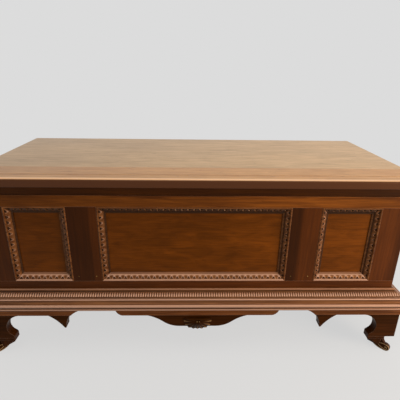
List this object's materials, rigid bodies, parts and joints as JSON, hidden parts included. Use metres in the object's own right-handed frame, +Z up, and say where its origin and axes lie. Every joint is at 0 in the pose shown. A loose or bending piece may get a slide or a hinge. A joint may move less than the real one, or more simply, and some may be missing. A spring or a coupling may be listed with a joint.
{
  "type": "cassone",
  "caption": "Blanket chest of cassone type with a framed and panelled case, hinged lid, deep moulded base, shaped apron and bracket feet ending in scroll toes.",
  "frame": {"origin": "on the floor, at the centre of the closed chest's bounding box", "axes": "+X along the front towards the right as seen from the front, +Y from the front to the back, +Z up"},
  "size_m": [1.196, 0.5228, 0.5315],
  "materials": {
    "frame_wood": "dark walnut stain under polished varnish",
    "panel_wood": "figured veneer, warm brown, polished varnish",
    "moulding_wood": "run and carved mouldings, worn to a lighter brown on the high parts, varnished",
    "lid_wood": "polished walnut boards, glossy varnish",
    "skirt_wood": "very dark stained rim, varnished",
    "foot_wood": "dark walnut stain, satin varnish",
    "inner_wood": "plain secondary wood, thin stain, unpolished",
    "brass": "aged brass"
  },
  "bodies": {
    "chest": {"apron_centre": "foot_wood", "apron_shell": "foot_wood", "apron_strip": "foot_wood", "back_bottom_rail": "inner_wood", "back_panels": "inner_wood", "back_stiles": "inner_wood", "back_top_rail": "inner_wood", "base_moulding_front": "moulding_wood", "base_moulding_left": "moulding_wood", "base_moulding_right": "moulding_wood", "base_rails_cross": "inner_wood", "base_rails_long": "inner_wood", "bottom_board": "inner_wood", "end_bracket_left": "foot_wood", "end_bracket_right": "foot_wood", "end_left_bottom_rail": "frame_wood", "end_left_panel": "panel_wood", "end_left_stiles": "frame_wood", "end_left_top_rail": "frame_wood", "end_right_bottom_rail": "frame_wood", "end_right_panel": "panel_wood", "end_right_stiles": "frame_wood", "end_right_top_rail": "frame_wood", "end_strip_left": "foot_wood", "end_strip_right": "foot_wood", "foot_glue_blocks": "inner_wood", "front_bottom_rail": "frame_wood", "front_bracket_left": "foot_wood", "front_bracket_right": "foot_wood", "front_corner_stile_left": "frame_wood", "front_corner_stile_right": "frame_wood", "front_mid_stile_left": "frame_wood", "front_mid_stile_right": "frame_wood", "front_panel_centre": "panel_wood", "front_panel_left": "panel_wood", "front_panel_right": "panel_wood", "front_strip_left": "foot_wood", "front_strip_right": "foot_wood", "front_toe_left": "foot_wood", "front_toe_right": "foot_wood", "front_top_rail": "frame_wood", "hinge_leaves_case": "brass", "hinge_pins": "brass", "hinge_screws_case": "brass", "panel_moulding_centre": "moulding_wood", "panel_moulding_left": "moulding_wood", "panel_moulding_right": "moulding_wood", "rear_brackets": "inner_wood"},
    "lid": {"lid_front_board": "lid_wood", "lid_rear_board": "lid_wood", "lid_skirt_front": "skirt_wood", "lid_skirt_sides": "skirt_wood", "lid_skirt_back": "skirt_wood", "hinge_leaves_lid": "brass", "hinge_screws_lid": "brass"}
  },
  "joints": [
    {"name": "lid_hinge", "type": "hinge", "parent": "chest", "child": "lid", "pos_m": [0, 0.25762, 0.48225], "axis": [-1, 0, 0], "range_deg": [0, 95]}
  ]
}
